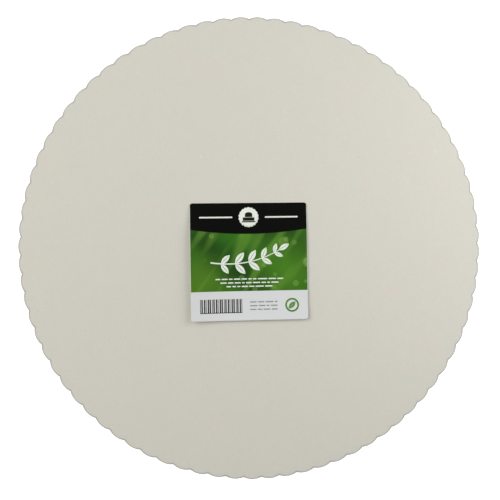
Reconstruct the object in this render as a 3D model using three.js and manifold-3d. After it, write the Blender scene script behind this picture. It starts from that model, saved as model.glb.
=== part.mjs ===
// A round cake board of pressed wood pulp with a scalloped rim, and the square card label on it.
// Millimetres, +Z up. The board lies flat, and the origin is the centre of its underside.
import * as THREE from 'three';
import { mergeVertices } from 'three/addons/utils/BufferGeometryUtils.js';
import Module from 'manifold-3d';

// Board
const BOARD_DIAMETER = 300; // across two opposite crests
const BOARD_THICKNESS = 1.5;
const EDGE_ROUND = 0.5; // radius pressed into the top and bottom edges
const SCALLOP_COUNT = 80;
const SCALLOP_DEPTH = 1.4; // from a crest to the point where two scallops would meet
const NOTCH_RADIUS = 0.55; // fillet between two scallops

// Label
const LABEL_SIDE = 76;
const LABEL_THICKNESS = 0.125;
const LABEL_CORNER = 2;
const LABEL_TURN = -0.7; // degrees anticlockwise, seen from above
const LABEL_LEFT = 4.2; // label centre, to the left of the board's centre
const LABEL_DOWN = 8.1; // label centre, below the board's centre
const INK = 0.0625; // height of a printed field over what it is printed on

// Print on the label
const PRINT_MARGIN = 6; // bare border at the left and right of what is printed on a field
const STRIP_HEIGHT = 19; // bare card along the bottom
const HEADER_HEIGHT = 17; // dark band along the top, at its two ends
const HEADER_SAG = 3; // how much deeper the band is in the middle
const BADGE_DIAMETER = 13;
const BADGE_SCALLOPS = 18;
const BADGE_DEPTH = 0.45;
const BADGE_NOTCH = 0.12;
const CAKE_MARGIN = 2; // from the badge's sides to the plate that the cake stands on
const PLATE_HEIGHT = 0.8;
const PLATE_OVERHANG = 0.7; // plate beyond the lower tier, on each side
const TIER_INSET = 1.4; // step from the lower tier to the upper one, on each side
const TIER_HEIGHT = 2.4;
const DOME_RISE = 1;
const RULE_HEIGHT = 1; // line on each side of the badge
const RULE_GAP = 4;
const SPRIG_MARGIN = 13; // from the label's sides
const SPRIG_GAP = 3; // to the header above and the captions below
const SPRIG_RISE = 8; // from the sprig's foot to its tip
const STEM_WIDTH = 1;
const LEAF_PAIRS = 5;
const LEAF_WIDTH = 4.2;
const LEAF_LEAN = 48; // degrees between a leaf and the stem
const CAPTION_INSETS = [16, 19, 23]; // from the label's sides, from the top caption down
const CAPTION_HEIGHT = 1;
const CAPTION_PITCH = 2.4;
const CAPTION_LIFT = 3; // from the strip to the lower caption's middle
const BARS_WIDTH = 27;
const BARS_HEIGHT = 9;
const BAR_COUNT = 22;
const BAR_RULE = 0.5; // base line that joins the bars
const SEAL_DIAMETER = 9;
const SEAL_BAND = 1.1;
const SEAL_LEAF_WIDTH = 3;
const NOTE_COUNT = 3;
const NOTE_HEIGHT = 0.8;
const NOTE_PITCH = 2.4;
const NOTE_GAP = 5; // from the notes to the bars and to the seal

// Steps that round stretches are drawn with
const SCALLOP_STEPS = 6;
const NOTCH_STEPS = 2;
const EDGE_STEPS = 2;
const CURVE_STEPS = 5;
const RING_STEPS = 32;
const STEM_STEPS = 12;
const WELD = 1e-4; // points closer than this are one

const wasm = await Module();
wasm.setup();

const pulp = finish(0xcfccc1, 0.9);
const card = finish(0xd2d3d2, 0.55);
const blackInk = finish(0x141510, 0.45);
const greenInk = finish(0x40701f, 0.45);
const whiteInk = finish(0xe6eadf, 0.5);
const greyInk = finish(0x8f948c, 0.5);

function finish(color, roughness) {
  return new THREE.MeshStandardMaterial({ color, roughness, metalness: 0 });
}

// Points along an arc, without its last one, which begins the next stretch.
function arcPoints(centre, radius, from, to, steps) {
  const arc = new THREE.EllipseCurve(centre.x, centre.y, radius, radius, from, to, to < from);
  return arc.getPoints(steps).slice(0, -1);
}

function polar(radius, angle) {
  return new THREE.Vector2(radius * Math.cos(angle), radius * Math.sin(angle));
}

// A disc whose rim is a ring of equal arcs, with a fillet in each notch between two of them.
function scallopedDisc(diameter, scallops, depth, notchRadius) {
  const count = Math.round(scallops);
  const crest = diameter / 2;
  const halfPitch = Math.PI / count;
  const halfChord = (crest - depth) * Math.sin(halfPitch);
  const rise = crest - (crest - depth) * Math.cos(halfPitch);
  const arcRadius = (halfChord ** 2 + rise ** 2) / (2 * rise);
  const arcCentre = crest - arcRadius;
  const reach = arcRadius + notchRadius;
  const aside = arcCentre * Math.sin(halfPitch);
  const notchCentre = arcCentre * Math.cos(halfPitch) + Math.sqrt(reach ** 2 - aside ** 2);
  const arcSweep = Math.asin((notchCentre * Math.sin(halfPitch)) / reach);
  const notchSweep = arcSweep - halfPitch;
  const points = [];
  for (let k = 0; k < count; k++) {
    const out = (2 * k + 1) * halfPitch;
    const inward = (2 * k + 2) * halfPitch + Math.PI;
    const arcAt = polar(arcCentre, out);
    const notchAt = polar(-notchCentre, inward);
    points.push(...arcPoints(arcAt, arcRadius, out - arcSweep, out + arcSweep, SCALLOP_STEPS));
    points.push(...arcPoints(notchAt, notchRadius, inward + notchSweep, inward - notchSweep, NOTCH_STEPS));
  }
  return new THREE.Shape(points);
}

// A rectangle round its middle. Its corners have one radius along the bottom and one along the top.
function roundedRectangle(x, y, width, height, bottomRadius, topRadius) {
  const shape = new THREE.Shape();
  const corners = [
    [1, -1, bottomRadius],
    [1, 1, topRadius],
    [-1, 1, topRadius],
    [-1, -1, bottomRadius],
  ];
  corners.forEach(([toRight, toTop, radius], i) => {
    const start = ((i - 1) * Math.PI) / 2;
    const cornerX = x + toRight * (width / 2 - radius);
    const cornerY = y + toTop * (height / 2 - radius);
    shape.absarc(cornerX, cornerY, radius, start, start + Math.PI / 2);
  });
  return shape;
}

// A flat slab of a shape that starts at a height, with its edges rounded where asked for.
function slab(shape, height, thickness, edge = 0) {
  const geometry = new THREE.ExtrudeGeometry(shape, {
    depth: thickness - 2 * edge,
    bevelEnabled: edge > 0,
    bevelThickness: edge,
    bevelSize: edge,
    bevelOffset: -edge,
    bevelSegments: EDGE_STEPS,
    curveSegments: CURVE_STEPS,
  });
  return geometry.translate(0, 0, height + edge);
}

// Slabs that overlap, joined into one solid.
function joined(geometries) {
  const solids = geometries.map((geometry) => {
    geometry.deleteAttribute('normal');
    geometry.deleteAttribute('uv');
    const welded = mergeVertices(geometry, WELD);
    const mesh = new wasm.Mesh({
      numProp: 3,
      vertProperties: welded.attributes.position.array,
      triVerts: new Uint32Array(welded.index.array),
    });
    return new wasm.Manifold(mesh);
  });
  const whole = solids.reduce((sum, solid) => sum.add(solid)).getMesh();
  const geometry = new THREE.BufferGeometry();
  geometry.setAttribute('position', new THREE.BufferAttribute(whole.vertProperties, 3));
  geometry.setIndex(new THREE.BufferAttribute(whole.triVerts, 1));
  geometry.computeVertexNormals();
  return geometry;
}

function part(name, geometry, material) {
  const mesh = new THREE.Mesh(geometry, material);
  mesh.name = name;
  return mesh;
}

// Heights over the board's face, one layer of print on another
const ON_CARD = LABEL_THICKNESS;
const ON_FIELD = ON_CARD + INK;
const ON_HEADER = ON_FIELD + INK;
const ON_BADGE = ON_HEADER + INK;

// Places on the label, from its middle
const LABEL_EDGE = LABEL_SIDE / 2;
const STRIP_TOP = STRIP_HEIGHT - LABEL_EDGE;
const STRIP_MIDDLE = STRIP_TOP - STRIP_HEIGHT / 2;
const HEADER_BOTTOM = LABEL_EDGE - HEADER_HEIGHT;
const HEADER_MIDDLE = LABEL_EDGE - (HEADER_HEIGHT + HEADER_SAG / 2) / 2;
const CAPTIONS_TALL = (CAPTION_INSETS.length - 1) * CAPTION_PITCH + CAPTION_HEIGHT / 2;
const SPRIG_BOTTOM = STRIP_TOP + CAPTION_LIFT + CAPTIONS_TALL + SPRIG_GAP;
const SPRIG_TOP = HEADER_BOTTOM - HEADER_SAG - SPRIG_GAP;
const LEAN = THREE.MathUtils.degToRad(LEAF_LEAN);
const LEAF_LENGTH = (SPRIG_TOP - SPRIG_BOTTOM - SPRIG_RISE) / (2 * Math.sin(LEAN));

function cakeBoard() {
  const outline = scallopedDisc(BOARD_DIAMETER, SCALLOP_COUNT, SCALLOP_DEPTH, NOTCH_RADIUS);
  return part('cake_board', slab(outline, 0, BOARD_THICKNESS, EDGE_ROUND), pulp);
}

function labelCard() {
  const outline = roundedRectangle(0, 0, LABEL_SIDE, LABEL_SIDE, LABEL_CORNER, LABEL_CORNER);
  return part('label_card', slab(outline, 0, LABEL_THICKNESS), card);
}

// The green field runs from the strip up to the top of the label, under the header.
function greenField() {
  const height = LABEL_EDGE - STRIP_TOP;
  const outline = roundedRectangle(0, STRIP_TOP + height / 2, LABEL_SIDE, height, 0, LABEL_CORNER);
  return part('print_green_field', slab(outline, ON_CARD, INK), greenInk);
}

// The header's lower side is one shallow curve that hangs lowest in the middle.
function header() {
  const inner = LABEL_EDGE - LABEL_CORNER;
  const outline = new THREE.Shape();
  outline.moveTo(-LABEL_EDGE, HEADER_BOTTOM);
  outline.quadraticCurveTo(0, HEADER_BOTTOM - 2 * HEADER_SAG, LABEL_EDGE, HEADER_BOTTOM);
  outline.absarc(inner, inner, LABEL_CORNER, 0, Math.PI / 2);
  outline.absarc(-inner, inner, LABEL_CORNER, Math.PI / 2, Math.PI);
  return part('print_header', slab(outline, ON_FIELD, INK), blackInk);
}

// The badge is a small scalloped board.
function badge() {
  const outline = scallopedDisc(BADGE_DIAMETER, BADGE_SCALLOPS, BADGE_DEPTH, BADGE_NOTCH);
  const mesh = part('print_badge', slab(outline, ON_HEADER, INK), whiteInk);
  mesh.position.y = HEADER_MIDDLE;
  return mesh;
}

// The cake on the badge has two tiers on a plate, and the upper tier has a domed top.
function badgeCake() {
  const plate = BADGE_DIAMETER / 2 - CAKE_MARGIN;
  const wide = plate - PLATE_OVERHANG;
  const narrow = wide - TIER_INSET;
  const foot = -(PLATE_HEIGHT + 2 * TIER_HEIGHT + DOME_RISE) / 2;
  const table = foot + PLATE_HEIGHT;
  const ledge = table + TIER_HEIGHT;
  const shoulder = ledge + TIER_HEIGHT;
  const outline = new THREE.Shape();
  outline.moveTo(-plate, foot);
  outline.lineTo(plate, foot);
  outline.lineTo(plate, table);
  outline.lineTo(wide, table);
  outline.lineTo(wide, ledge);
  outline.lineTo(narrow, ledge);
  outline.lineTo(narrow, shoulder);
  outline.quadraticCurveTo(0, shoulder + 2 * DOME_RISE, -narrow, shoulder);
  outline.lineTo(-narrow, ledge);
  outline.lineTo(-wide, ledge);
  outline.lineTo(-wide, table);
  outline.lineTo(-plate, table);
  const mesh = part('print_badge_cake', slab(outline, ON_BADGE, INK), blackInk);
  mesh.position.y = HEADER_MIDDLE;
  return mesh;
}

function line(name, x, y, length, width, height, ink) {
  const outline = roundedRectangle(x, y, length, width, width / 2, width / 2);
  return part(name, slab(outline, height, INK), ink);
}

// The two rules run from the badge to the margins.
function headerRules() {
  const inner = BADGE_DIAMETER / 2 + RULE_GAP;
  const outer = LABEL_EDGE - PRINT_MARGIN;
  const middle = (inner + outer) / 2;
  return [
    line('print_left_rule', -middle, HEADER_MIDDLE, outer - inner, RULE_HEIGHT, ON_HEADER, whiteInk),
    line('print_right_rule', middle, HEADER_MIDDLE, outer - inner, RULE_HEIGHT, ON_HEADER, whiteInk),
  ];
}

// One pointed leaf that starts at its foot, turned by an angle.
function leaf(foot, angle, length, width, height) {
  const outline = new THREE.Shape();
  outline.moveTo(0, 0);
  outline.quadraticCurveTo(length / 2, -width, length, 0);
  outline.quadraticCurveTo(length / 2, width, 0, 0);
  return slab(outline, height, INK).rotateZ(angle).translate(foot.x, foot.y, 0);
}

// The stem is a ribbon along one curve, widest at its foot and half as wide at its tip.
function stem(curve) {
  const near = [];
  const far = [];
  for (let i = 0; i <= STEM_STEPS; i++) {
    const along = i / STEM_STEPS;
    const across = curve.getTangent(along).rotateAround(new THREE.Vector2(), Math.PI / 2);
    across.multiplyScalar((STEM_WIDTH / 2) * (1 - along / 2));
    const middle = curve.getPoint(along);
    near.push(middle.clone().sub(across));
    far.unshift(middle.clone().add(across));
  }
  return slab(new THREE.Shape([...near, ...far]), ON_FIELD, INK);
}

// Leaf pairs that get shorter towards both ends of the stem, and one leaf on its tip.
function sprig() {
  const reach = LABEL_EDGE - SPRIG_MARGIN;
  const middle = (SPRIG_BOTTOM + SPRIG_TOP) / 2;
  const foot = new THREE.Vector2(-reach, middle - SPRIG_RISE / 2);
  const bend = new THREE.Vector2(0, middle - SPRIG_RISE);
  const tip = new THREE.Vector2(reach - LEAF_LENGTH / 2, middle + SPRIG_RISE / 2);
  const curve = new THREE.QuadraticBezierCurve(foot, bend, tip);
  const pieces = [stem(curve)];
  for (let i = 0; i < LEAF_PAIRS; i++) {
    const along = (i + 0.7) / (LEAF_PAIRS + 0.2);
    const at = curve.getPoint(along);
    const heading = curve.getTangent(along).angle();
    const size = 1 - 0.35 * Math.abs(2 * along - 0.8);
    pieces.push(leaf(at, heading + LEAN, size * LEAF_LENGTH, size * LEAF_WIDTH, ON_FIELD));
    pieces.push(leaf(at, heading - LEAN, size * LEAF_LENGTH, size * LEAF_WIDTH, ON_FIELD));
  }
  const end = curve.getPoint(0.98);
  const size = 0.8;
  pieces.push(leaf(end, curve.getTangent(1).angle(), size * LEAF_LENGTH, size * LEAF_WIDTH, ON_FIELD));
  return part('print_sprig', joined(pieces), whiteInk);
}

function captions() {
  return CAPTION_INSETS.map((inset, i) => {
    const y = STRIP_TOP + CAPTION_LIFT + (CAPTION_INSETS.length - 1 - i) * CAPTION_PITCH;
    const length = LABEL_SIDE - 2 * inset;
    return line(`print_caption_${i + 1}`, 0, y, length, CAPTION_HEIGHT, ON_FIELD, whiteInk);
  });
}

// Upright bars of made-up widths on a base line, drawn in one stroke from left to right.
function barBlock() {
  const bottom = STRIP_MIDDLE - BARS_HEIGHT / 2;
  const bars = Array.from({ length: BAR_COUNT }, (_, i) => 1 + ((i * i) % 3));
  const gaps = bars.map((_, i) => (i < BAR_COUNT - 1 ? 1 + (i % 2) : 0));
  const units = [...bars, ...gaps].reduce((sum, width) => sum + width);
  const unit = BARS_WIDTH / units;
  const outline = new THREE.Shape();
  let x = PRINT_MARGIN - LABEL_EDGE;
  outline.moveTo(x, bottom);
  bars.forEach((bar, i) => {
    outline.lineTo(x, bottom + BARS_HEIGHT);
    x += bar * unit;
    outline.lineTo(x, bottom + BARS_HEIGHT);
    outline.lineTo(x, bottom + BAR_RULE);
    x += gaps[i] * unit;
    outline.lineTo(x, bottom + BAR_RULE);
  });
  outline.lineTo(x, bottom);
  return part('print_bar_block', slab(outline, ON_CARD, INK), blackInk);
}

// The seal is a ring with one leaf across it, which grows out of the ring.
function seal() {
  const centre = new THREE.Vector2(LABEL_EDGE - PRINT_MARGIN - SEAL_DIAMETER / 2, STRIP_MIDDLE);
  const outer = SEAL_DIAMETER / 2;
  const inner = outer - SEAL_BAND;
  const ring = new THREE.Shape(arcPoints(centre, outer, 0, 2 * Math.PI, RING_STEPS));
  ring.holes.push(new THREE.Path(arcPoints(centre, inner, 0, 2 * Math.PI, RING_STEPS)));
  const slant = Math.PI / 4;
  const foot = polar(-(inner + SEAL_BAND / 2), slant).add(centre);
  const length = 2 * inner;
  const pieces = [slab(ring, ON_CARD, INK), leaf(foot, slant, length, SEAL_LEAF_WIDTH, ON_CARD)];
  return part('print_seal', joined(pieces), greenInk);
}

// The notes fill the strip between the bars and the seal.
function notes() {
  const left = PRINT_MARGIN + BARS_WIDTH + NOTE_GAP - LABEL_EDGE;
  const right = LABEL_EDGE - PRINT_MARGIN - SEAL_DIAMETER - NOTE_GAP;
  return Array.from({ length: NOTE_COUNT }, (_, i) => {
    const y = STRIP_MIDDLE + ((NOTE_COUNT - 1) / 2 - i) * NOTE_PITCH;
    return line(`print_note_${i + 1}`, (left + right) / 2, y, right - left, NOTE_HEIGHT, ON_CARD, greyInk);
  });
}

function label() {
  const group = new THREE.Group();
  group.position.set(-LABEL_LEFT, -LABEL_DOWN, BOARD_THICKNESS);
  group.rotation.z = THREE.MathUtils.degToRad(LABEL_TURN);
  group.add(labelCard(), greenField(), header(), badge(), badgeCake(), ...headerRules(), sprig());
  group.add(...captions(), barBlock(), seal(), ...notes());
  return group;
}

const model = new THREE.Group();
model.add(cakeBoard(), label());

export default model;
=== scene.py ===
"""A round scalloped cake board of pressed wood pulp, with a printed card label lying on it.

Metres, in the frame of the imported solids: +Z is up and the board's underside is at zero.
The label is laid out in millimetres from its own middle, and placed() turns that into metres.
"""

import math

import bmesh
import bpy
import numpy as np
from mathutils import Euler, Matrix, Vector


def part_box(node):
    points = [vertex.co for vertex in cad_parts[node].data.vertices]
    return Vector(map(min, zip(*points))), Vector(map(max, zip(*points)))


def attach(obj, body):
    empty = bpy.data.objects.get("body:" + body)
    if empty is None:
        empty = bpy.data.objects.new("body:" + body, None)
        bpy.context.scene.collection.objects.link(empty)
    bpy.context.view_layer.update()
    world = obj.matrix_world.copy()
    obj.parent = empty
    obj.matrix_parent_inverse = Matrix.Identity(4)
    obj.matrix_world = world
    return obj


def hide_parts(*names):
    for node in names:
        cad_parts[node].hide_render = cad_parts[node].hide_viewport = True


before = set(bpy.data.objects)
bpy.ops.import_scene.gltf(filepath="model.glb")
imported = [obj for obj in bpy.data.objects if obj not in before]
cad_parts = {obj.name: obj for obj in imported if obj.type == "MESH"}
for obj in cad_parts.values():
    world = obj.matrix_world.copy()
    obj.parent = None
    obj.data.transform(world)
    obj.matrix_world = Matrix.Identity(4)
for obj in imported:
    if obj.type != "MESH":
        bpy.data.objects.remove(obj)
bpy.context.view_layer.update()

MM = 0.001


def linear(red, green, blue):
    """A colour as the eye sees it, from 0 to 255, made linear."""
    seen = np.array([red, green, blue]) / 255
    curve = np.where(seen <= 0.04045, seen / 12.92, ((seen + 0.055) / 1.055) ** 2.4)
    return (*curve.tolist(), 1.0)


# Board, in metres
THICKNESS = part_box("cake_board")[1].z
CREST = 150 * MM
SCALLOPS = 80
SCALLOP_DEPTH = 1.4 * MM
NOTCH_RADIUS = 0.55 * MM
ARC_STEPS = 9
NOTCH_STEPS = 4
EDGE_ROUND = 0.5 * MM
ROUND_STEPS = 6
MIDDLE_RINGS = 13
RIM_RINGS = np.array([8, 5, 3.4, 2.2, 1.4, 0.9]) * MM  # how far each ring lies in from the rim
RIM_SLOPE = 0.08 * MM  # how much lower the top is at the rim, where the die pressed it
RIM_SLOPE_WIDTH = 4 * MM
WAVE_HEIGHT = 0.1 * MM
WAVES = (  # length, heading and start
    (0.11, 0.4, 0.3),
    (0.083, 1.7, 2.1),
    (0.064, 2.6, 4.4),
    (0.047, 0.9, 5.2),
)
FRAY = 0.03 * MM  # how far single fibres stand out of the cut edge
FRAY_SEED = 5

# How much of the rim's grey tone shows, which is partly the cut edge's own tone and partly painted
# shade:
# on the last ring, from the start to the end of the rounding, and as a factor at a crest, with the
# painted shade that the bottom of a notch adds to it
LAST_RING_CUT_AND_SHADE = 0.4
ROUND_CUT_AND_SHADE = (0.75, 0.95)
CREST_CUT_AND_SHADE = 0.65
NOTCH_SHADE = 0.7

# Label, in millimetres
CARD_LOW, CARD_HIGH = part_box("label_card")
LABEL_CENTRE = ((CARD_LOW + CARD_HIGH) / 2).xy  # in metres
LABEL_SIDE = 76.0
LABEL_EDGE = LABEL_SIDE / 2
LABEL_CORNER = 2.0
LABEL_TURN = math.radians(-0.7)
CARD_THICKNESS = 0.125
CARD_POINTS = 115
CARD_GAP = 0.01  # under the card where it lies flat
LEFT_CURL = {"start": 2, "height": 2.8}
RIGHT_CURL = {"start": 10, "height": 0.8}
BOTTOM_CURL = {"start": 8, "height": 1.5}
SIDE_CURL_TOP = 40  # the height on the label above which its sides wouldn't curl
SIDE_CURL_FADE = 26  # the way down over which their curl grows
INK_THICKNESS = 0.018
INK_WALL = 0.9 * INK_THICKNESS

# Print, in millimetres
PRINT_MARGIN = 6.0
STRIP_TOP = -19.0
STRIP_MIDDLE = -28.5
HEADER_BOTTOM = 21.0
HEADER_SAG = 3.0
HEADER_MIDDLE = 28.75
RULE_WIDTH = 1
RULE_GAP = 4
BADGE_RADIUS = 6.5
BADGE_SCALLOPS = 18
BADGE_DIP = 0.4
CAKE_DROP = 3.3  # from the badge's middle down to the foot of its cake
CAKE_PLATE = {"half": 4.5, "middle": 0.4, "width": 0.8}
CAKE_LOWER = {"half": 3.8, "bottom": 1, "top": 3.2}
CAKE_UPPER = {"half": 2.4, "bottom": 3.4, "height": 2.2}
CAPTION_INSETS = (16.0, 19.0, 23.0)
CAPTION_PITCH = 2.4
CAPTION_LIFT = 3.0
CAPTION_WIDTH = 0.85
CAPTION_SEED = 20
BARS_WIDTH = 27.0
BARS_HEIGHT = 9.0
BAR_COUNT = 22
BAR_BASE = 0.5
SEAL_RADIUS = 4.5
SEAL_BAND = 1.1
SEAL_LEAF_WIDTH = 3
NOTE_LINES = 3
NOTE_PITCH = 2.4
NOTE_GAP = 5.0
NOTE_WIDTH = 0.8
NOTE_SEED = 40

# Words too small to read
WORD_SHARES = (2.0, 6.5)  # the shortest and the longest beside each other
WORD_PITCH = 5.2  # from word to word, in widths of their line
WORD_GAP = 0.85  # in widths of their line
FEWEST_WORDS = 3

# Sprig, in millimetres
SPRIG_MARGIN = 13
SPRIG_RISE = 8
OVER_CAPTIONS = 3.5
UNDER_HEADER = 3
STEM_WIDTH = 1
LEAF_PAIRS = 5
LEAF_LEAN = math.radians(48)
LEAF_WIDTH = 4.2
LEAF_VEIN = 0.07  # share of the leaf's width
TIP_LEAF = 0.8  # size beside the largest leaf

# Camera and light
CAMERA_PLACE = (-3.36 * MM, -0.69 * MM, 350.75 * MM)  # before the tilt turns it round the origin
CAMERA_TILT = (-0.56, -3.83, -1.53)  # degrees
LENS = 38.79
SENSOR = 36.0
RIGHT_LAMP = {"place": (0.36, 0.11, 0.25), "size": 0.36, "power": 0.93, "tint": (1.0, 1.0, 1.04)}
LEFT_LAMP = {"place": (-0.75, 0.3, 0.66), "size": 0.9, "power": 7.35, "tint": (1.0, 1.0, 1.0)}
SKY_STRENGTH = 0.42
FLOOR_SIZE = 40.0
FLOOR_GLOW = 0.6
FLOOR_COLOUR = (0.9, 0.9, 0.9, 1.0)
WHITE = (1.0, 1.0, 1.0, 1.0)

# Tones of the board
PULP_WARM = linear(207.2, 202.3, 190)
PULP_COOL = linear(204.4, 203.7, 191.4)
PULP_FLOCK = linear(200, 196, 184)
PULP_FELT = linear(222, 220, 212)
PULP_HAIR = linear(226, 224, 216)
# Grey of the cut edge, which also serves as painted shade along the rim
PULP_CUT_AND_SHADE = linear(157, 157, 153)
PULP_SPECKS = (  # cells in a metre, share of them with a speck, its strength and its tone
    (130.0, 0.1, 0.4, linear(150, 140, 118)),
    (90.0, 0.12, 0.5, linear(232, 230, 224)),
)

# Tones of the label's print and card
GREEN_DEEP = linear(28, 66, 12)
GREEN_OPEN = linear(50, 102, 20)
GREEN_BLADE = linear(104, 152, 52)
GREEN_DISC = linear(150, 192, 92)
GREEN_GLOWS = (  # middle on the label, from 0 to 1, then reach, strength and tone
    ((0.86, 0.42, 0.0), 0.42, 0.7, linear(74, 130, 28)),
    ((0.08, 0.32, 0.0), 0.34, 0.65, linear(88, 132, 30)),
    ((0.42, 0.66, 0.0), 0.3, 0.45, linear(40, 112, 18)),
)
DISCS = (  # cells along the label, share of them with a disc, its radius in cells, its strength
    (6.0, 0.3, 0.3, 0.22),
    (11.0, 0.25, 0.32, 0.2),
)
HEADER_DARK = linear(6, 6, 5)
HEADER_LIGHT = linear(11, 11, 10)
STRIP_WHITE = linear(213, 214, 213)
CARD_GRAIN = linear(128, 128, 120)
CARD_BORDER = linear(205, 208, 200)
BORDER_WIDTH = 0.3
BACK_GREY = linear(212, 211, 206)
BACK_WHITE = linear(226, 226, 222)

# Inks, full and thin
WHITE_INK = (linear(228, 234, 222), linear(212, 222, 202))
BLACK_INK = (linear(20, 21, 17), linear(34, 35, 30))
GREEN_INK = (linear(70, 128, 24), linear(88, 142, 44))
GREY_INK = (linear(140, 146, 138), linear(160, 165, 158))


# Meshes

def mesh_object(name, points, quads):
    """A smooth mesh of four-cornered faces."""
    mesh = bpy.data.meshes.new(name)
    mesh.from_pydata(points, [], quads)
    mesh.polygons.foreach_set("use_smooth", np.ones(len(quads), bool))
    piece = bpy.data.objects.new(name, mesh)
    bpy.context.scene.collection.objects.link(piece)
    return piece


def weld(piece):
    """Makes one point of those that fall together, which closes seams and poles."""
    shape = bmesh.new()
    shape.from_mesh(piece.data)
    bmesh.ops.remove_doubles(shape, verts=shape.verts, dist=0.0005 * MM)
    shape.to_mesh(piece.data)
    shape.free()


def grid_quads(rows, columns, around=False):
    """Faces of a grid of points, whose last column may join its first."""
    index = np.arange(rows * columns).reshape(rows, columns)
    if around:
        index = np.concatenate([index, index[:, :1]], axis=1)
    corners = [index[:-1, :-1], index[:-1, 1:], index[1:, 1:], index[1:, :-1]]
    return np.stack(corners, axis=-1).reshape(-1, 4)


def set_values(piece, name, values):
    """A number for each point of a piece, which its material reads by name."""
    layer = piece.data.attributes.new(name, "FLOAT", "POINT")
    layer.data.foreach_set("value", values.astype(np.float32))


def add_wall(piece, thickness):
    """Gives a sheet its thickness, which grows down from the sheet."""
    wall = piece.modifiers.new("wall", "SOLIDIFY")
    wall.thickness = thickness * MM
    wall.offset = -1
    return wall


def finish_piece(piece, slot, *materials):
    """Gives a piece its materials and lets it ride on the one body. The slot it is given is not
    used.
    """
    for material in materials:
        piece.data.materials.append(material)
    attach(piece, "root")


# The board

def scallop_rim():
    """The rim as complex numbers, with the direction out of it and how deep it dips there.

    One scallop is an arc round a centre on its crest line. One notch is a small arc round a
    centre outside the board that meets both of its scallops. Both are turned round the board,
    once a scallop.
    """
    half = math.pi / SCALLOPS
    chord = (CREST - SCALLOP_DEPTH) * math.sin(half)
    rise = CREST - (CREST - SCALLOP_DEPTH) * math.cos(half)
    radius = (chord**2 + rise**2) / (2 * rise)
    centre = CREST - radius
    reach = radius + NOTCH_RADIUS
    notch = centre * math.cos(half) + math.sqrt(reach**2 - (centre * math.sin(half)) ** 2)
    sweep = math.asin(notch * math.sin(half) / reach)
    arc_out = np.exp(1j * np.linspace(-sweep, sweep, ARC_STEPS + 1)[:-1])
    notch_turn = np.linspace(sweep - half, half - sweep, NOTCH_STEPS + 1)[:-1]
    notch_out = np.exp(1j * (half + notch_turn))
    arc = centre + radius * arc_out
    dip = notch * np.exp(1j * half) - NOTCH_RADIUS * notch_out
    turns = np.exp(2j * half * (np.arange(SCALLOPS)[:, None] + 0.5))
    rim = (turns * np.concatenate([arc, dip])).ravel()
    out = (turns * np.concatenate([arc_out, notch_out])).ravel()
    deep = ((CREST - np.abs(rim)) / SCALLOP_DEPTH).clip(0, 1)
    return rim, out, deep


def wave(x, y):
    """Height of the slow waves in the board: four sines in four directions, never below zero."""
    total = np.zeros_like(x)
    for length, heading, start in WAVES:
        along = x * math.cos(heading) + y * math.sin(heading)
        total += np.sin(2 * math.pi * along / length + start)
    return WAVE_HEIGHT * (0.5 + total / (2 * len(WAVES)))


def board_section():
    """Rows of the board's section, from the middle of its underside round the rim to its top.

    Each row holds its distance in from the rim, its share of the way from the middle to there,
    its height and how much of the rim's grey it takes, which is partly the cut edge's own tone
    and partly painted shade. The rim is a quarter round, a short wall and a quarter round.
    """
    turn = np.linspace(0, math.pi / 2, ROUND_STEPS)
    rounding = EDGE_ROUND * (1 - np.sin(turn))
    inset = np.concatenate([np.full(MIDDLE_RINGS, RIM_RINGS[0]), RIM_RINGS, rounding])
    from_middle = np.linspace(0, 1, MIDDLE_RINGS + 1)[:-1]
    share = np.concatenate([from_middle, np.ones(len(RIM_RINGS) + ROUND_STEPS)])
    flat = np.zeros(MIDDLE_RINGS + len(RIM_RINGS))
    rise = np.concatenate([flat, EDGE_ROUND * (1 - np.cos(turn))])
    # The last ring of each face takes a painted dark line of shade, and the rounding takes the cut
    # edge's grey with painted shade
    edge = np.concatenate([flat[1:], [LAST_RING_CUT_AND_SHADE], np.linspace(*ROUND_CUT_AND_SHADE, ROUND_STEPS)])
    slope = RIM_SLOPE * (1 - inset / RIM_SLOPE_WIDTH).clip(0) ** 2
    under = np.stack([inset, share, rise, edge], axis=1)
    over = np.stack([inset, share, THICKNESS - slope - rise, edge], axis=1)
    return np.concatenate([under, over[::-1]])


def make_board():
    """The section's rows carried round the rim, each point drawn in along the rim's direction.

    Single fibres fray the cut edge a little, and the slow waves lift both faces alike.
    """
    rim, out, deep = scallop_rim()
    section = board_section()
    inset, share, height, edge = (section[:, i : i + 1] for i in range(4))
    random = np.random.default_rng(FRAY_SEED)
    fray = random.normal(0, FRAY, (len(section), len(rim))) * edge
    flat = (rim - (inset - fray) * out) * share
    z = height + wave(flat.real, flat.imag)
    points = np.stack([flat.real, flat.imag, z], axis=-1).reshape(-1, 3)
    board = mesh_object("board", points, grid_quads(len(section), len(rim), around=True))
    # Grey rim weight, partly the cut edge's own tone and partly painted shade, with more painted
    # shade at the bottom of each notch
    set_values(board, "cut_edge_and_shade", (edge * (CREST_CUT_AND_SHADE + NOTCH_SHADE * deep)).ravel())
    weld(board)
    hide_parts("cake_board")
    return board


# The label

def curl(out, start, height):
    """A parabola that starts flat at a distance out and reaches its height at the card's edge."""
    return ((out - start) / (LABEL_EDGE - start)).clip(0) ** 2 * height


def lift(x, y):
    """How far the card stands off the board. It lies flat along its top and curls up elsewhere.

    The curl of the two sides grows on the way down, and the bottom's is added at right angles.
    """
    sides = curl(-x, **LEFT_CURL) + curl(x, **RIGHT_CURL)
    down = ((SIDE_CURL_TOP - y) / SIDE_CURL_FADE).clip(0, 1)
    return CARD_GAP + np.hypot(sides * down, curl(-y, **BOTTOM_CURL))


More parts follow.
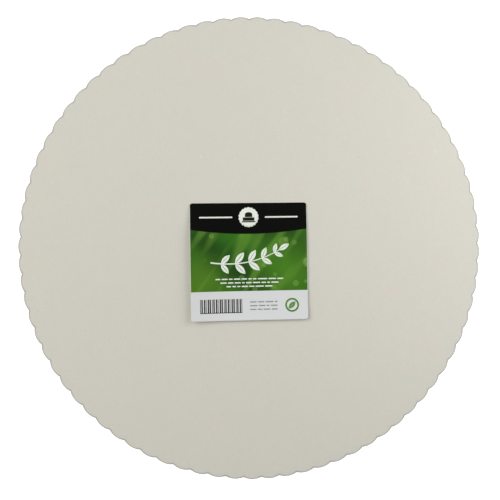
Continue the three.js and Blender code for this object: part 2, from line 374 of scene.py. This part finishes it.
def placed(x, y, height):
    """Points in metres, from places on the label and heights over the card's underside."""
    across = LABEL_CENTRE.x + (x * math.cos(LABEL_TURN) - y * math.sin(LABEL_TURN)) * MM
    up = LABEL_CENTRE.y + (x * math.sin(LABEL_TURN) + y * math.cos(LABEL_TURN)) * MM
    z = THICKNESS + wave(across, up) + (lift(x, y) + height) * MM
    return np.stack([across, up, z], axis=-1).reshape(-1, 3)


def make_card():
    """A square grid whose corners are drawn in along rays, until each is a quarter circle."""
    steps = np.linspace(-LABEL_EDGE, LABEL_EDGE, CARD_POINTS)
    x, y = np.meshgrid(steps, steps)
    beyond_x = (np.abs(x) - LABEL_EDGE + LABEL_CORNER).clip(0)
    beyond_y = (np.abs(y) - LABEL_EDGE + LABEL_CORNER).clip(0)
    ray = np.hypot(beyond_x, beyond_y)
    drawn = np.where(ray > 0, np.maximum(beyond_x, beyond_y) / ray.clip(1e-9) - 1, 0)
    x = x + np.sign(x) * beyond_x * drawn
    y = y + np.sign(y) * beyond_y * drawn
    quads = grid_quads(CARD_POINTS, CARD_POINTS)
    card = mesh_object("label", placed(x, y, CARD_THICKNESS), quads)
    corner = np.zeros(len(card.data.loops), np.int32)
    card.data.loops.foreach_get("vertex_index", corner)
    uv = np.stack([x, y], axis=-1).reshape(-1, 2)[corner] / LABEL_SIDE + 0.5
    layer = card.data.uv_layers.new(name="print")
    layer.data.foreach_set("uv", uv.astype(np.float32).ravel())
    wall = add_wall(card, CARD_THICKNESS)
    wall.material_offset = 1
    wall.material_offset_rim = 1
    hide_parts("label_card", "print_green_field", "print_header")
    return card


def ink(name, patches, *nodes, layer=1):
    """One piece of print, from grids of x and y that all lie on the card in the same layer."""
    points, quads, count = [], [], 0
    for x, y in patches:
        points.append(placed(x, y, CARD_THICKNESS + layer * INK_THICKNESS))
        quads.append(grid_quads(*x.shape) + count)
        count += x.size
    piece = mesh_object(name, np.concatenate(points), np.concatenate(quads))
    weld(piece)
    add_wall(piece, INK_WALL)
    if nodes:
        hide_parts(*nodes)
    return piece


def block(left, right, bottom, top, columns=5):
    """A rectangle as a grid."""
    return np.meshgrid(np.linspace(left, right, columns), np.linspace(bottom, top, 3))


def line(left, right, y, width):
    """A line with round ends: everywhere as wide as the half circles at its ends allow."""
    radius = width / 2
    end = radius * (1 - np.cos(np.linspace(0, math.pi / 2, 6)))
    inner = np.linspace(left + radius, right - radius, 12)
    along = np.concatenate([left + end[:-1], inner, right - end[::-1][1:]])
    from_end = np.minimum(along - left, right - along).clip(0, radius)
    reach = np.sqrt((radius**2 - (radius - from_end) ** 2).clip(0))
    across = np.array([-1, 0, 1])[:, None]
    return along + 0 * across, y + reach * across


def word_line(middle, length, y, width, seed):
    """A line of print too small to read: short lines of uneven length, with even gaps."""
    random = np.random.default_rng(seed)
    shares = random.uniform(*WORD_SHARES, max(FEWEST_WORDS, round(length / (width * WORD_PITCH))))
    gap = width * WORD_GAP
    lengths = shares * (length - gap * (len(shares) - 1)) / shares.sum()
    starts = middle - length / 2 + np.concatenate([[0], np.cumsum(lengths[:-1] + gap)])
    return [line(start, start + size, y, width) for start, size in zip(starts, lengths)]


def caption_height(i):
    """Height of a line of the caption, counted from its top line."""
    return STRIP_TOP + CAPTION_LIFT + (len(CAPTION_INSETS) - 1 - i) * CAPTION_PITCH


def leaf(foot, heading, length, width):
    """The two halves of a pointed leaf, on each side of a vein that is left open.

    Along the leaf, from 0 to 1, the half width is 2 u (1 - u) times the width.
    """
    halves = []
    for near, far in ((-1, -LEAF_VEIN), (LEAF_VEIN, 1)):
        u, v = np.meshgrid(np.linspace(0, 1, 25), np.linspace(near, far, 7))
        flat = foot + (length * u + 1j * 2 * u * (1 - u) * width * v) * np.exp(1j * heading)
        halves.append((flat.real, flat.imag))
    return halves


def make_sprig():
    """Pairs of leaves on both sides of a stem that bends once, and one leaf on its tip.

    The stem is a curve of the second degree through its start and its end, drawn towards a
    point below its middle. It is half as wide at its tip as at its foot.
    """
    low = caption_height(0) + OVER_CAPTIONS
    high = HEADER_BOTTOM - HEADER_SAG - UNDER_HEADER
    middle, reach = (low + high) / 2, LABEL_EDGE - SPRIG_MARGIN
    length = (high - low - SPRIG_RISE) / (2 * math.sin(LEAF_LEAN))
    start = -reach + 1j * (middle - SPRIG_RISE / 2)
    bend = 1j * (middle - SPRIG_RISE)
    end = reach - length / 2 + 1j * (middle + SPRIG_RISE / 2)

    def point(t):
        return (1 - t) ** 2 * start + 2 * t * (1 - t) * bend + t**2 * end

    def heading(t):
        return np.angle((1 - t) * (bend - start) + t * (end - bend))

    halves = []
    for i in range(LEAF_PAIRS):
        t = (i + 0.7) / (LEAF_PAIRS + 0.2)
        size = 1 - 0.35 * abs(2 * t - 0.8)
        for lean in (LEAF_LEAN, -LEAF_LEAN):
            halves += leaf(point(t), heading(t) + lean, size * length, size * LEAF_WIDTH)
    halves += leaf(point(0.98), heading(1), TIP_LEAF * length, TIP_LEAF * LEAF_WIDTH)
    sides = np.linspace(-STEM_WIDTH / 2, STEM_WIDTH / 2, 3)
    t, across = np.meshgrid(np.linspace(0, 1, 60), sides)
    stem = point(t) + 1j * np.exp(1j * heading(t)) * across * (1 - t / 2)
    leaves = ink("ink_leaves", halves, "print_sprig")
    return leaves, ink("ink_stem", [(stem.real, stem.imag)], layer=2)


def make_badge():
    """A disc whose rim dips by a power of a cosine, once for each scallop."""
    around = np.linspace(0, 2 * math.pi, BADGE_SCALLOPS * 8 + 1)
    angle, share = np.meshgrid(around, np.linspace(1, 0, 7))
    dip = BADGE_DIP * np.abs(np.cos(BADGE_SCALLOPS / 2 * angle)) ** 6
    radius = share * (BADGE_RADIUS - dip)
    disc = (radius * np.cos(angle), HEADER_MIDDLE + radius * np.sin(angle))
    return ink("ink_badge", [disc], "print_badge")


def make_cake():
    """A cake of two tiers on a plate, with thin open lines between them.

    The top of the upper tier is a parabola that falls by one millimetre to its sides.
    """
    foot = HEADER_MIDDLE - CAKE_DROP
    u, v = np.meshgrid(np.linspace(-1, 1, 21), np.linspace(0, 1, 5))
    top = CAKE_UPPER["height"] + (1 - u**2)
    upper = (CAKE_UPPER["half"] * u, foot + CAKE_UPPER["bottom"] + v * top)
    half = CAKE_LOWER["half"]
    lower = block(-half, half, foot + CAKE_LOWER["bottom"], foot + CAKE_LOWER["top"])
    half = CAKE_PLATE["half"]
    plate = line(-half, half, foot + CAKE_PLATE["middle"], CAKE_PLATE["width"])
    return ink("ink_cake", [plate, lower, upper], "print_badge_cake", layer=2)


def make_rules():
    """A line on each side of the badge."""
    near, far = BADGE_RADIUS + RULE_GAP, LABEL_EDGE - PRINT_MARGIN
    left = line(-far, -near, HEADER_MIDDLE, RULE_WIDTH)
    right = line(near, far, HEADER_MIDDLE, RULE_WIDTH)
    return ink("ink_rules", [left, right], "print_left_rule", "print_right_rule")


def make_captions():
    """Three centred lines of words, the lowest of them the shortest."""
    words = []
    for i, inset in enumerate(CAPTION_INSETS):
        length = LABEL_SIDE - 2 * inset
        words += word_line(0, length, caption_height(i), CAPTION_WIDTH, CAPTION_SEED + i)
    nodes = [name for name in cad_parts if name.startswith("print_caption")]
    return ink("ink_captions", words, *nodes)


def make_bars():
    """Upright bars on a base line. Their widths and gaps follow a made-up rule and mean nothing."""
    count = np.arange(BAR_COUNT)
    widths = 1 + count**2 % 3
    gaps = np.where(count < BAR_COUNT - 1, 1 + count % 2, 0)
    unit = BARS_WIDTH / (widths.sum() + gaps.sum())
    left = PRINT_MARGIN - LABEL_EDGE
    starts = left + unit * (np.cumsum(widths + gaps) - widths - gaps)
    bottom = STRIP_MIDDLE - BARS_HEIGHT / 2
    foot, top = bottom + BAR_BASE, bottom + BARS_HEIGHT
    bars = [block(x, x + width * unit, foot, top) for x, width in zip(starts, widths)]
    base = block(left, left + BARS_WIDTH, bottom, foot, 20)
    return ink("ink_bars", [*bars, base], "print_bar_block")


def make_seal():
    """A ring with one leaf across it."""
    x, y = LABEL_EDGE - PRINT_MARGIN - SEAL_RADIUS, STRIP_MIDDLE
    inner = SEAL_RADIUS - SEAL_BAND
    angle, radius = np.meshgrid(np.linspace(0, 2 * math.pi, 65), [SEAL_RADIUS, inner])
    ring = (x + radius * np.cos(angle), y + radius * np.sin(angle))
    foot = x + 1j * y - (inner - 0.1) * np.exp(0.25j * math.pi)
    halves = leaf(foot, math.pi / 4, 2 * inner - 0.4, SEAL_LEAF_WIDTH)
    return ink("ink_seal", [ring, *halves], "print_seal")


def make_notes():
    """Three lines of words between the bars and the seal."""
    left = PRINT_MARGIN + BARS_WIDTH + NOTE_GAP - LABEL_EDGE
    right = LABEL_EDGE - PRINT_MARGIN - 2 * SEAL_RADIUS - NOTE_GAP
    words = []
    for i in range(NOTE_LINES):
        y = STRIP_MIDDLE + (1 - i) * NOTE_PITCH
        words += word_line((left + right) / 2, right - left, y, NOTE_WIDTH, NOTE_SEED + i)
    return ink("ink_notes", words, "print_note_1", "print_note_2", "print_note_3")


def make_label_print(white, black, green, grey):
    """All the small print, each colour of ink in its own material."""
    leaves, stem = make_sprig()
    finish_piece(leaves, "white_ink", white)
    finish_piece(stem, "white_ink", white)
    finish_piece(make_badge(), "white_ink", white)
    finish_piece(make_cake(), "black_ink", black)
    finish_piece(make_rules(), "white_ink", white)
    finish_piece(make_captions(), "white_ink", white)
    finish_piece(make_bars(), "black_ink", black)
    finish_piece(make_seal(), "green_ink", green)
    finish_piece(make_notes(), "grey_ink", grey)


# Materials

class Finish:
    """One material, and the steps that its colour and its surface are mixed from."""

    def __init__(self, name, roughness, gloss):
        self.material = bpy.data.materials.new(name)
        self.material.use_nodes = True
        self.tree = self.material.node_tree
        self.shader = self.tree.nodes["Principled BSDF"]
        self.shader.inputs["Roughness"].default_value = roughness
        self.shader.inputs["Specular IOR Level"].default_value = gloss

    def add(self, kind, inputs, **settings):
        """A node, with each input linked where it is given a socket and otherwise set."""
        made = self.tree.nodes.new("ShaderNode" + kind)
        for key, value in settings.items():
            setattr(made, key, value)
        for key, value in inputs.items():
            if isinstance(value, bpy.types.NodeSocket):
                self.tree.links.new(value, made.inputs[key])
            else:
                made.inputs[key].default_value = value
        return made.outputs

    def place(self):
        return self.add("TexCoord", {})["Object"]

    def maths(self, operation, first, second=0.0):
        return self.add("Math", {0: first, 1: second}, operation=operation)[0]

    def step(self, value, low, high, at_low=0.0, at_high=1.0):
        """A smooth step from one value to another, while the input goes from low to high."""
        inputs = {"Value": value, "From Min": low, "From Max": high}
        inputs.update({"To Min": at_low, "To Max": at_high})
        return self.add("MapRange", inputs, interpolation_type="SMOOTHSTEP")[0]

    def mix(self, factor, first, second):
        return self.add("Mix", {0: factor, 6: first, 7: second}, data_type="RGBA")[2]

    def noise(self, place, scale, detail=2.0, roughness=0.5, distortion=0.0):
        inputs = {"Vector": place, "Scale": scale, "Detail": detail, "Roughness": roughness}
        return self.add("TexNoise", {**inputs, "Distortion": distortion})[0]

    def cells(self, place, scale, share):
        """Distance from the middle of each cell of a loose pattern, and 1 in a share of them."""
        cells = self.add("TexVoronoi", {"Vector": place, "Scale": scale})
        chance = self.add("SeparateColor", {"Color": cells["Color"]})[0]
        return cells["Distance"], self.step(chance, 1 - share, 1.02 - share)

    def colour(self, socket):
        self.tree.links.new(socket, self.shader.inputs["Base Color"])

    def bump(self, height, distance, strength):
        inputs = {"Height": height, "Distance": distance * MM, "Strength": strength}
        self.tree.links.new(self.add("Bump", inputs)[0], self.shader.inputs["Normal"])


def pulp_material():
    """Pressed wood pulp: faint clouds of two tones, flocks, a fine felt, hairs and a few specks,
    and a grey rim that is partly the cut edge's own tone and partly painted shade.

    Hairs are thin lines where a noise is near its middle, kept only where another noise is high.
    """
    finish = Finish("pressed_pulp", roughness=0.92, gloss=0.2)
    place = finish.place()
    clouds = finish.noise(place, 38.0, detail=3.0, roughness=0.6)
    flocks = finish.noise(place, 330.0)
    felt = finish.noise(place, 1100.0, detail=3.0, roughness=0.65)
    hair_noise = finish.noise(place, 420.0, detail=0.0, distortion=0.6)
    from_line = finish.maths("ABSOLUTE", finish.maths("SUBTRACT", hair_noise, 0.5))
    hair_line = finish.step(from_line, 0.0, 0.02, at_low=1.0, at_high=0.0)
    hair_patch = finish.step(finish.noise(place, 700.0, detail=0.0), 0.56, 0.62)
    hairs = finish.maths("MULTIPLY", hair_line, hair_patch)
    colour = finish.mix(finish.step(clouds, 0.25, 0.75), PULP_WARM, PULP_COOL)
    colour = finish.mix(finish.step(flocks, 0.2, 0.8, at_high=0.18), colour, PULP_FLOCK)
    colour = finish.mix(finish.step(felt, 0.3, 0.8, at_high=0.24), colour, PULP_FELT)
    colour = finish.mix(finish.maths("MULTIPLY", hairs, 0.35), colour, PULP_HAIR)
    for scale, share, strength, tone in PULP_SPECKS:
        distance, chosen = finish.cells(place, scale, share)
        spot = finish.step(distance, 0.02, 0.07, at_low=strength, at_high=0.0)
        colour = finish.mix(finish.maths("MULTIPLY", spot, chosen), colour, tone)
    # Painted shade along the rim, mixed into the cut edge's own grey, deepest at the bottom of the
    # notches
    edge = finish.add("Attribute", {}, attribute_name="cut_edge_and_shade")["Fac"]
    ragged = finish.step(finish.noise(place, 1500.0), 0.2, 0.7, at_low=0.75, at_high=1.0)
    finish.colour(finish.mix(finish.maths("MULTIPLY", edge, ragged), colour, PULP_CUT_AND_SHADE))
    height = finish.maths("MULTIPLY", felt, 0.6)
    height = finish.maths("ADD", height, finish.maths("MULTIPLY", flocks, 0.4))
    height = finish.maths("ADD", height, finish.maths("MULTIPLY", hairs, 0.25))
    finish.bump(height, distance=0.05, strength=0.5)
    return finish.material


def greenery(finish, uv):
    """A soft picture of greenery: haze, three broad glows, slanting blades and pale discs."""
    haze = finish.step(finish.noise(uv, 3.0, detail=1.0), 0.35, 0.65)
    green = finish.mix(haze, GREEN_DEEP, GREEN_OPEN)
    for centre, reach, strength, tone in GREEN_GLOWS:
        away = finish.add("VectorMath", {0: uv, 1: centre}, operation="DISTANCE")["Value"]
        glow = finish.step(away, 0.0, reach, at_low=strength, at_high=0.0)
        green = finish.mix(glow, green, tone)
    turned = {"Vector": uv, "Rotation": (0.0, 0.0, 1.0), "Scale": (0.9, 0.16, 1.0)}
    drawn_out = finish.add("Mapping", turned, vector_type="TEXTURE")[0]
    blades = finish.noise(drawn_out, 1.6, detail=0.0, distortion=0.3)
    green = finish.mix(finish.step(blades, 0.46, 0.72, at_high=0.45), green, GREEN_BLADE)
    for scale, share, radius, strength in DISCS:
        distance, chosen = finish.cells(uv, scale, share)
        disc = finish.step(distance, radius * 0.8, radius, at_low=strength, at_high=0.0)
        green = finish.mix(finish.maths("MULTIPLY", disc, chosen), green, GREEN_DISC)
    return green


def card_material():
    """The card's printed face: a dark header with a sagging edge, greenery and a bare strip."""
    finish = Finish("printed_card", roughness=0.45, gloss=0.06)
    uv = finish.add("UVMap", {}, uv_map="print")["UV"]
    split = finish.add("SeparateXYZ", {"Vector": uv})
    x = finish.maths("MULTIPLY", finish.maths("SUBTRACT", split["X"], 0.5), LABEL_SIDE)
    y = finish.maths("MULTIPLY", finish.maths("SUBTRACT", split["Y"], 0.5), LABEL_SIDE)
    green = greenery(finish, uv)
    bare = finish.step(y, STRIP_TOP - 0.05, STRIP_TOP + 0.05, at_low=1.0, at_high=0.0)
    colour = finish.mix(bare, green, STRIP_WHITE)
    grain = finish.noise(uv, 260.0)
    colour = finish.mix(finish.step(grain, 0.3, 0.7, at_high=0.05), colour, CARD_GRAIN)
    from_middle = finish.maths("ABSOLUTE", x)
    arch = finish.maths("POWER", finish.maths("DIVIDE", from_middle, LABEL_EDGE), 2.0)
    arch = finish.maths("MULTIPLY", arch, HEADER_SAG)
    over = finish.maths("SUBTRACT", y, HEADER_BOTTOM - HEADER_SAG)
    over = finish.maths("SUBTRACT", over, arch)
    dark = finish.mix(grain, HEADER_DARK, HEADER_LIGHT)
    colour = finish.mix(finish.step(over, -0.05, 0.05), colour, dark)
    side = LABEL_EDGE - BORDER_WIDTH
    border = finish.step(from_middle, side - 0.05, side + 0.05)
    finish.colour(finish.mix(border, colour, CARD_BORDER))
    finish.bump(grain, distance=0.008, strength=0.2)
    return finish.material


def paper_material():
    """The card's bare back and cut edge: white paper with a little grey fibre in it."""
    finish = Finish("bare_paper", roughness=0.85, gloss=0.3)
    grain = finish.noise(finish.place(), 1200.0)
    finish.colour(finish.mix(finish.step(grain, 0.3, 0.7), BACK_GREY, BACK_WHITE))
    finish.bump(grain, distance=0.01, strength=0.3)
    return finish.material


def ink_material(name, full, thin):
    """Printing ink, a little thinner where the paper takes it less well."""
    finish = Finish(name, roughness=0.45, gloss=0.15)
    patchy = finish.step(finish.noise(finish.place(), 900.0), 0.35, 0.75, at_high=0.5)
    finish.colour(finish.mix(patchy, full, thin))
    return finish.material


# Stage, light and camera

def make_floor():
    """A white floor that the camera sees as plain white, apart from the board's own shadow."""
    bpy.ops.mesh.primitive_plane_add(size=FLOOR_SIZE)
    floor = bpy.context.object
    floor.name = "floor"
    finish = Finish("white_floor", roughness=1.0, gloss=0.0)
    finish.shader.inputs["Base Color"].default_value = FLOOR_COLOUR
    finish.shader.inputs["Emission Color"].default_value = WHITE
    path = finish.add("LightPath", {})
    seen = finish.maths("ADD", path["Is Camera Ray"], path["Is Glossy Ray"])
    glow = finish.maths("MULTIPLY", seen, FLOOR_GLOW)
    finish.tree.links.new(glow, finish.shader.inputs["Emission Strength"])
    floor.data.materials.append(finish.material)


def area_light(name, place, size, power, tint):
    """A round soft lamp that points at the board's middle."""
    data = bpy.data.lights.new(name, "AREA")
    data.shape = "DISK"
    data.size = size
    data.energy = power
    data.color = tint
    light = bpy.data.objects.new(name, data)
    light.location = place
    light.rotation_euler = (-light.location).to_track_quat("-Z", "Y").to_euler()
    bpy.context.scene.collection.objects.link(light)


def make_world():
    """Even light from all round, which the camera itself sees as plain white."""
    world = bpy.data.worlds.new("studio")
    world.use_nodes = True
    nodes, links = world.node_tree.nodes, world.node_tree.links
    background = nodes["Background"]
    background.inputs["Color"].default_value = WHITE
    seen = nodes.new("ShaderNodeMapRange")
    seen.inputs["To Min"].default_value = SKY_STRENGTH
    path = nodes.new("ShaderNodeLightPath")
    links.new(path.outputs["Is Camera Ray"], seen.inputs["Value"])
    links.new(seen.outputs["Result"], background.inputs["Strength"])
    bpy.context.scene.world = world


def make_camera():
    """Close above the board and a little to its left, so the scallops look larger there."""
    data = bpy.data.cameras.new("camera")
    data.lens = LENS
    data.sensor_width = SENSOR
    camera = bpy.data.objects.new("camera", data)
    tilt = Euler([math.radians(angle) for angle in CAMERA_TILT])
    camera.rotation_euler = tilt
    camera.location = tilt.to_matrix() @ Vector(CAMERA_PLACE)
    bpy.context.scene.collection.objects.link(camera)
    bpy.context.scene.camera = camera


finish_piece(make_board(), "pulp", pulp_material())
finish_piece(make_card(), "card", card_material(), paper_material())
make_label_print(
    white=ink_material("white_ink", *WHITE_INK),
    black=ink_material("black_ink", *BLACK_INK),
    green=ink_material("green_ink", *GREEN_INK),
    grey=ink_material("grey_ink", *GREY_INK),
)

make_floor()
area_light("right_lamp", **RIGHT_LAMP)
area_light("left_lamp", **LEFT_LAMP)
make_world()
bpy.context.scene.view_settings.view_transform = "Standard"
make_camera()
